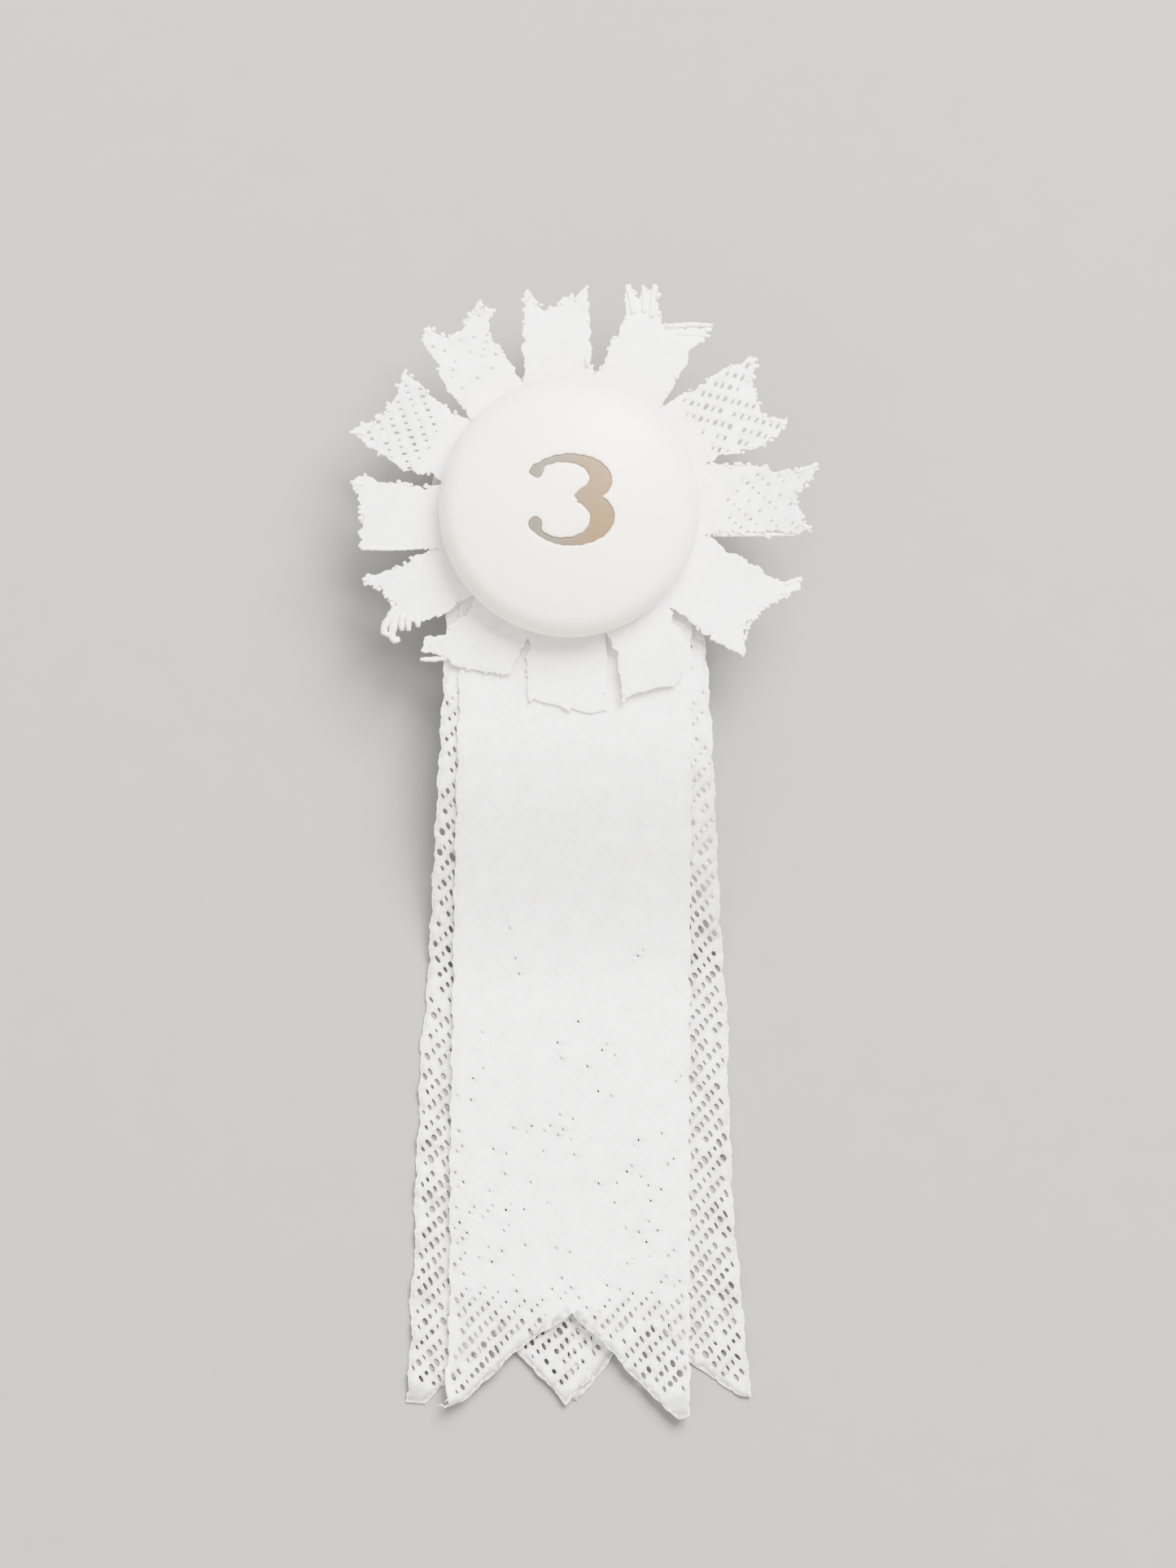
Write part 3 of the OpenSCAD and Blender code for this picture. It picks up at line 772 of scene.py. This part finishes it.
# a raw edge goes in and out by a yarn or two; the part under the button stays straight
def rawEdge(rim, rng):
    out = ease(np.hypot(*rim.T), 7.2, 8.2)
    out = out * (1.0 - 0.6 * ease(-rim[:, 1], 7.6, 9.0))
    coarse = np.interp(np.arange(len(rim)) / 2.6, np.arange(len(rim)),
                       rng.normal(0, 0.085, len(rim)))
    return out * (coarse + rng.normal(-0.06, 0.03, len(rim)))


def makeStrip(index, pair):
    number = index + 1
    name = "petalStrip%d" % number
    first, second = petalEnds[pair[0]], petalEnds[pair[1]]
    outline = np.array(first["tip"] + second["tip"], float)
    middleA = np.mean(first["tip"], axis=0)
    middleB = np.mean(second["tip"], axis=0)
    axis = (middleA - middleB) / np.hypot(*(middleA - middleB))
    cross = np.array([axis[1], -axis[0]])
    base = sum(nodeHeights("petal_strip_%d" % number)) / 2
    settled = base - 0.06 * index

    def place(points):
        along = points @ axis
        aside = points @ cross
        out = np.abs(along)
        tip = ease(out, 7.7, 12.8) * np.clip((out - 7.2) / 5.0, 0, 1.4)
        bend = np.where(along > 0, first["bend"], second["bend"])
        roll = np.where(along > 0, first["roll"], -second["roll"])
        z = base + (settled - base) * ease(out, 3.0, 7.0)
        z = z + tip * (bend + roll * aside / 2.0)
        return np.stack([points[:, 0], points[:, 1], z], axis=1)

    def opening(x, y):
        along = x * axis[0] + y * axis[1]
        wide = np.where(along > 0, first.get("open", 0.25), second.get("open", 0.25))
        return wide * ease(np.hypot(x, y), 7.2, 9.5)

    rng = np.random.default_rng(40 + number)
    turn = math.atan2(-axis[0], axis[1])
    cloth = weaveTape(outline, 20 + number, opening, turn=turn, edge=0.09, step=0.14,
                      ragged=rawEdge)
    rim = walkAlong(outline, petalTape["stubEvery"])
    outward = awayFrom(outline, rim, np.roll(rim, -1, axis=0) - rim)
    far = np.hypot(*rim.T)
    strands = []
    for sign, end in ((1, first), (-1, second)):
        half = (rim @ axis) * sign > 0
        facing = outward @ axis * sign
        fray = end.get("fray", 1.0)
        sides = half & (far > 7.8) & (facing < 0.5)
        ends = half & (facing > 0.3) & (far > 9.5)
        strands += frayTufts(rim[sides], outward[sides], None, petalTape["sideTufts"], fray,
                             place, rng)
        strands += frayTufts(rim[ends], outward[ends], axis * sign, petalTape["endTufts"], fray,
                             place, rng)
    for run, radius, hang in looseYarns[number]:
        ground = place(walkAlong(run, 0.2, closed=False))
        ground[:, 2] -= hang
        strands.append((ground, radius, tuple(run[0])))
    piece = layTape(name, cloth, petalTape["half"], place, petalCloth, strands)
    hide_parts("petal_strip_%d" % number)
    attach(piece, "rosette")
    print("petals", name, len(piece.data.polygons), "faces")
    return piece


for index, pair in enumerate(petalPairs):
    makeStrip(index, pair)

# the domed button and its numeral
buttonShape = {
    "crownRadius": 16.0,
    "edgeRadius": 1.8,
    "recess": 0.26,
    "lip": 0.05,
    "flatRadius": 5.0,
    "around": 144,
    "colour": (0.93, 0.835, 0.70),
    "shade": (0.91, 0.815, 0.68),
}
buttonRadius = (buttonHigh.x - buttonLow.x) / 2 / mm
buttonBase = buttonLow.z / mm
buttonTop = buttonHigh.z / mm
crownMiddle = buttonTop - buttonShape["crownRadius"]
edgeMiddle = buttonRadius - buttonShape["edgeRadius"]
edgeHeight = crownMiddle + math.sqrt(
    (buttonShape["crownRadius"] - buttonShape["edgeRadius"]) ** 2 - edgeMiddle ** 2)

numeralShape = {
    "middle": (0.11, 0.34),
    "grid": 0.04,
    "wobble": 0.022,
    "sink": 0.13,
    "colour": (0.145, 0.094, 0.042),
    # painted reflection: the foil's left side takes this greyer tone, turning into the foil colour
    # towards the right
    "leftReflectionTone": (0.12, 0.102, 0.078),
}


def ovalField(x, y, cx, cy, w, h):
    k0 = np.hypot((x - cx) / w, (y - cy) / h)
    k1 = np.hypot((x - cx) / w ** 2, (y - cy) / h ** 2)
    return k0 * (k0 - 1) / np.maximum(k1, 1e-9)


def softMin(a, b, soft):
    h = np.clip(0.5 + 0.5 * (b - a) / soft, 0, 1)
    return b + (a - b) * h - soft * h * (1 - h)


# signed distance to the numeral, negative inside
def numeralField(x, y):
    x = np.asarray(x, float) - numeralShape["middle"][0]
    y = np.asarray(y, float) - numeralShape["middle"][1]
    bowls = np.minimum(ovalField(x, y, -0.06, 1.09, 2.33, 1.48),
                       ovalField(x, y, 0.01, -0.95, 2.42, 1.61))
    field = np.maximum(bowls, -ovalField(x, y, -0.45, 1.22, 1.44, 0.84))
    field = np.maximum(field, -ovalField(x, y, -0.43, -1.04, 1.47, 1.04))
    slot = np.maximum(np.abs(x + 1.34) - 1.66, np.abs(y - 0.15) - 1.42)
    field = np.maximum(field, -slot)
    field = softMin(field, np.hypot(x + 1.9, y - 1.57) - 0.36, 0.3)
    field = softMin(field, np.hypot(x + 1.98, y + 1.27) - 0.36, 0.3)
    field = softMin(field, np.hypot(x - 0.36, y - 0.22) - 0.19, 0.08)
    wave = np.sin(x * 9.0 + y * 4.0) * np.cos(y * 8.0 - x * 3.0)
    return field + numeralShape["wobble"] * wave


# closed contour of the numeral at one level, longest loop only
def contour(level):
    step = numeralShape["grid"]
    axis = np.arange(-3.4, 3.6, step)
    gx, gy = np.meshgrid(axis, axis, indexing="ij")
    field = numeralField(gx, gy) - level
    links = {}

    def crossing(a, b):
        fa, fb = field[a], field[b]
        t = fa / (fa - fb)
        return (gx[a] + t * (gx[b] - gx[a]), gy[a] + t * (gy[b] - gy[a]))

    spots = {}
    for i in range(len(axis) - 1):
        for j in range(len(axis) - 1):
            corners = [(i, j), (i + 1, j), (i + 1, j + 1), (i, j + 1)]
            signs = [field[c] < 0 for c in corners]
            if all(signs) or not any(signs):
                continue
            cuts = []
            for k in range(4):
                a, b = corners[k], corners[(k + 1) % 4]
                if signs[k] != signs[(k + 1) % 4]:
                    key = (min(a, b), max(a, b))
                    spots[key] = crossing(*key)
                    cuts.append(key)
            for a, b in zip(cuts[::2], cuts[1::2]):
                links.setdefault(a, []).append(b)
                links.setdefault(b, []).append(a)
    loops = []
    while links:
        start = next(iter(links))
        loop = [start]
        here = start
        while True:
            onward = [n for n in links.pop(here, []) if n in links]
            if not onward:
                break
            here = onward[0]
            loop.append(here)
        loops.append([spots[k] for k in loop])
    longest = np.array(max(loops, key=len))
    closed = np.vstack([longest, longest[:1]])
    run = np.concatenate([[0], np.cumsum(np.hypot(*np.diff(closed, axis=0).T))])
    count = int(run[-1] / 0.07)
    at = np.linspace(0, run[-1], count, endpoint=False)
    return np.stack([np.interp(at, run, closed[:, 0]), np.interp(at, run, closed[:, 1])], axis=1)


def squareGrid(axis):
    gx, gy = np.meshgrid(axis, axis)
    return np.stack([gx.ravel(), gy.ravel()], axis=1)


def crownHeight(x, y):
    return crownMiddle + np.sqrt(buttonShape["crownRadius"] ** 2 - x ** 2 - y ** 2)


def makeButton():
    levels = [0.12, 0.04, 0.0, -0.012]
    drops = [0.0, 0.02, buttonShape["lip"], buttonShape["recess"]]
    count = buttonShape["around"]
    turns = 2 * np.pi * np.arange(count) / count
    circle = np.stack([np.cos(turns), np.sin(turns)], axis=1)
    rim = circle * buttonShape["flatRadius"]
    points, loops, start = [rim], [np.arange(count)], count
    for level in levels:
        loop = contour(level)
        points.append(loop)
        loops.append(np.arange(start, start + len(loop)))
        start += len(loop)
    flat = buttonShape["flatRadius"]
    grid = squareGrid(np.arange(-flat, flat + 0.01, 0.22))
    field = numeralField(*grid.T)
    free = np.hypot(*grid.T) < flat - 0.12
    free &= (np.abs(field) > 0.18) | (field < -0.1)
    points.append(grid[free])
    placed, triangles, came = stretchBetween(np.concatenate(points), loops)
    field = numeralField(*placed.T)
    drop = np.interp(-field, [-l for l in levels], drops)
    z = crownHeight(*placed.T) - drop
    vertices = [(*p, h) for p, h in zip(placed, z)]
    triangles = faceUp(placed, triangles)
    faces = triangles.tolist()
    where = {int(k): n for n, k in enumerate(came) if k >= 0}
    ring = [where[k] for k in range(count)]
    meet = edgeMiddle * buttonShape["crownRadius"] / (
        buttonShape["crownRadius"] - buttonShape["edgeRadius"])
    profile = [(r, float(crownHeight(r, 0))) for r in np.linspace(flat, meet, 6)[1:]]
    first = math.atan2(profile[-1][1] - edgeHeight, profile[-1][0] - edgeMiddle)
    for turn in np.linspace(first, 0, 12)[1:]:
        profile.append((edgeMiddle + buttonShape["edgeRadius"] * math.cos(turn),
                        edgeHeight + buttonShape["edgeRadius"] * math.sin(turn)))
    profile += [(buttonRadius, buttonBase + 0.6), (buttonRadius - 0.03, buttonBase + 0.25),
                (buttonRadius - 0.12, buttonBase + 0.06), (buttonRadius - 0.28, buttonBase),
                (buttonRadius - 1.0, buttonBase), (buttonRadius - 1.2, buttonBase + 0.15),
                (buttonRadius - 1.25, buttonBase + 1.5)]
    for radius, height in profile:
        start = len(vertices)
        vertices += [(radius * c[0], radius * c[1], height) for c in circle]
        fresh = list(range(start, start + count))
        for k in range(count):
            n = (k + 1) % count
            faces.append((ring[k], fresh[k], fresh[n], ring[n]))
        ring = fresh
    faces.append(tuple(reversed(ring)))
    shell = grainyMaterial("cream moulded plastic", buttonShape["colour"], buttonShape["shade"],
                           0.38, 900.0, 0.00002, {
                               "Subsurface Weight": 0.25,
                               "Subsurface Radius": (1.0, 0.8, 0.6),
                               "Subsurface Scale": 0.001,
                               "Specular IOR Level": 0.45,
                           })
    piece = makePiece("buttonShell", toFrame(vertices), faces, shell)
    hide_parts("button")
    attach(piece, "rosette")
    print("button", len(piece.data.polygons), "faces")


def makeNumeral():
    edge = contour(-0.018)
    inner = contour(-0.08)
    grid = squareGrid(np.arange(-3.4, 3.6, 0.16))
    grid = grid[numeralField(*grid.T) < -0.13]
    points = np.concatenate([edge, inner, grid])
    loops = [np.arange(len(edge)), np.arange(len(edge), len(edge) + len(inner))]
    placed, triangles, _ = stretchBetween(points, loops)
    centres = placed[triangles].mean(axis=1)
    triangles = triangles[insideOf(centres, edge)]
    triangles = faceUp(placed, triangles)
    field = numeralField(*placed.T)
    dip = np.interp(field, [-0.08, -0.02], [0.0, 0.02])
    crown = crownHeight(*placed.T)
    top = crown - numeralShape["sink"] - dip
    bottom = crown - buttonShape["recess"] - 0.02
    count = len(placed)
    vertices = [(*p, h) for p, h in zip(placed, top)] + [(*p, h) for p, h in zip(placed, bottom)]
    faces = triangles.tolist() + (triangles[:, ::-1] + count).tolist()
    sides = {}
    for t in triangles:
        for k in range(3):
            sides[(int(t[k]), int(t[(k + 1) % 3]))] = True
    for here, there in sides:
        if (there, here) not in sides:
            faces.append((there, here, here + count, there + count))
    material, shader = startMaterial("tan foil", numeralShape["colour"], 0.55, {
        "Metallic": 0.1,
        "Specular IOR Level": 0.25,
    })
    space = addNode(material, "ShaderNodeTexCoord", (-1000, 0))
    split = addNode(material, "ShaderNodeSeparateXYZ", (-800, 100))
    # painted reflection: object x runs the foil from the greyer left tone to the foil colour at the
    # right
    spread = addNode(material, "ShaderNodeMapRange", (-600, 100), From_Min=-0.0027,
                     From_Max=0.0012)
    tone = ramp(material, (-350, 100), (0.25, numeralShape["leftReflectionTone"]),
                (0.8, numeralShape["colour"]))
    grain = addNode(material, "ShaderNodeTexNoise", (-600, -250), Scale=2600.0, Detail=5.0)
    bump = addNode(material, "ShaderNodeBump", (100, -250), Strength=0.3, Distance=0.00001)
    join(material, (space, "Object", split, "Vector"), (split, "X", spread, "Value"),
         (spread, "Result", tone, "Fac"), (tone, "Color", shader, "Base Color"),
         (space, "Object", grain, "Vector"), (grain, "Fac", bump, "Height"),
         (bump, "Normal", shader, "Normal"))
    piece = makePiece("numeralFoil", toFrame(vertices), faces, material)
    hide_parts("numeral")
    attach(piece, "rosette")
    print("numeral", len(piece.data.polygons), "faces")


makeButton()
makeNumeral()

# round slab with a softened, slightly uneven edge
def makeDisc(name, node, material, uneven, lumps, around=128, edgeSize=0.25):
    low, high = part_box(node)
    radius = (high.x - low.x) / 2 / mm
    bottom, top = low.z / mm, high.z / mm
    edgeSize = min(edgeSize, (top - bottom) / 2)
    profile = [(radius * f, top) for f in (0.15, 0.4, 0.6, 0.8, 0.92)]
    for turns, middleZ in (((90, 60, 30, 0), top - edgeSize),
                           ((0, -30, -60, -90), bottom + edgeSize)):
        for t in map(math.radians, turns):
            profile.append((radius - edgeSize + edgeSize * math.cos(t),
                            middleZ + edgeSize * math.sin(t)))
    profile += [(radius * f, bottom) for f in (0.92, 0.8, 0.6, 0.4, 0.15)]
    vertices, faces = [(0, 0, top)], []
    for r, z in profile:
        for k in range(around):
            turn = 2 * math.pi * k / around
            x, y = math.cos(turn), math.sin(turn)
            swell = noise.noise(Vector((x * lumps, y * lumps, 3.7))) * uneven
            fine = noise.noise(Vector((x * r * 3, y * r * 3, z * 3))) * uneven * 0.25
            grown = r + (swell + fine) * (r / radius) ** 3
            vertices.append((grown * x, grown * y, z + fine * 0.3))
    for k in range(around):
        n = (k + 1) % around
        faces.append((0, 1 + k, 1 + n))
        for ring in range(len(profile) - 1):
            a = 1 + ring * around
            faces.append((a + k, a + around + k, a + around + n, a + n))
        last = 1 + (len(profile) - 1) * around
        faces.append((last + k, len(profile) * around + 1, last + n))
    vertices.append((0, 0, bottom))
    piece = makePiece(name, toFrame(vertices), faces, material)
    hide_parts(node)
    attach(piece, "rosette")
    print("disc", name)
    return piece


feltCloth = grainyMaterial("white backing felt", (0.74, 0.72, 0.69), (0.6, 0.58, 0.56), 0.9,
                           1800.0, 0.00006, {"Sheen Weight": 0.3, "Specular IOR Level": 0.2})
hotGlue = grainyMaterial("hot glue", (0.82, 0.78, 0.66), (0.76, 0.72, 0.6), 0.28, 350.0,
                         0.00008, {"Subsurface Weight": 0.3, "Subsurface Scale": 0.001})
pinMetal = grainyMaterial("nickel plate", (0.66, 0.66, 0.67), (0.58, 0.58, 0.6), 0.26, 700.0,
                          0.00001, {"Metallic": 1.0}, stretch=(0.08, 1, 1))
stapleWire = grainyMaterial("staple wire", (0.6, 0.6, 0.62), (0.5, 0.5, 0.52), 0.3, 900.0,
                            0.00001, {"Metallic": 1.0})

makeDisc("backingFelt", "backing_disc", feltCloth, 0.07, 2.5)
makeDisc("backingGlueBead", "backing_glue", hotGlue, 0.35, 1.6, around=96)

for node, material in (("button_glue", hotGlue), ("pin_glue", hotGlue), ("staple", stapleWire),
                       ("pin_base", pinMetal), ("pin_rivet", pinMetal),
                       ("pin_needle", pinMetal), ("pin_catch", pinMetal)):
    carried = bpy.data.objects[node]
    carried.data.materials.clear()
    carried.data.materials.append(material)
print("pin, staple and glue finished")

# floor, light and camera
studio = {
    "floor": (0.222, 0.216, 0.209),
    "world": (1.0, 0.975, 0.955),
    "worldStrength": 1.3,
    "keyPower": 18.0,
    "keySize": 0.3,
    "keyFrom": (0.16, 0.3, 0.42),
    "fillPower": 2.0,
    "fillFrom": (-0.3, -0.2, 0.45),
    "aim": (0.000145, 0.00361),
    "height": 0.7,
    "tall": 0.0876,
}

floorMesh = bpy.data.meshes.new("floor")
floorMesh.from_pydata([(-1.5, -1.5, 0), (1.5, -1.5, 0), (1.5, 1.5, 0), (-1.5, 1.5, 0)], [],
                      [(0, 1, 2, 3)])
floor = bpy.data.objects.new("floor", floorMesh)
bpy.context.collection.objects.link(floor)
floorMaterial = grainyMaterial("pale studio paper", studio["floor"],
                               tuple(c * 0.97 for c in studio["floor"]), 0.85, 400.0, 0.00002)
floorMesh.materials.append(floorMaterial)

world = bpy.data.worlds.new("studio")
world.use_nodes = True
world.node_tree.nodes["Background"].inputs["Color"].default_value = (*studio["world"], 1)
world.node_tree.nodes["Background"].inputs["Strength"].default_value = studio["worldStrength"]
bpy.context.scene.world = world


def softLight(name, place, power, size):
    lamp = bpy.data.lights.new(name, "AREA")
    lamp.energy = power
    lamp.size = size
    holder = bpy.data.objects.new(name, lamp)
    holder.location = place
    aim = Vector((studio["aim"][0], studio["aim"][1], 0)) - Vector(place)
    holder.rotation_euler = aim.to_track_quat("-Z", "Y").to_euler()
    bpy.context.collection.objects.link(holder)
    return holder


keyLight = softLight("keyLight", studio["keyFrom"], studio["keyPower"], studio["keySize"])
fillLight = softLight("fillLight", studio["fillFrom"], studio["fillPower"], 0.5)

lens = bpy.data.cameras.new("camera")
lens.sensor_width = 36
lens.lens = 36 * (studio["height"] - 0.0035) / studio["tall"]
lens.clip_start = 0.01
camera = bpy.data.objects.new("camera", lens)
camera.location = (*studio["aim"], studio["height"])
bpy.context.collection.objects.link(camera)
bpy.context.scene.camera = camera
print("floor, lights and camera set")

print("pieces in place")
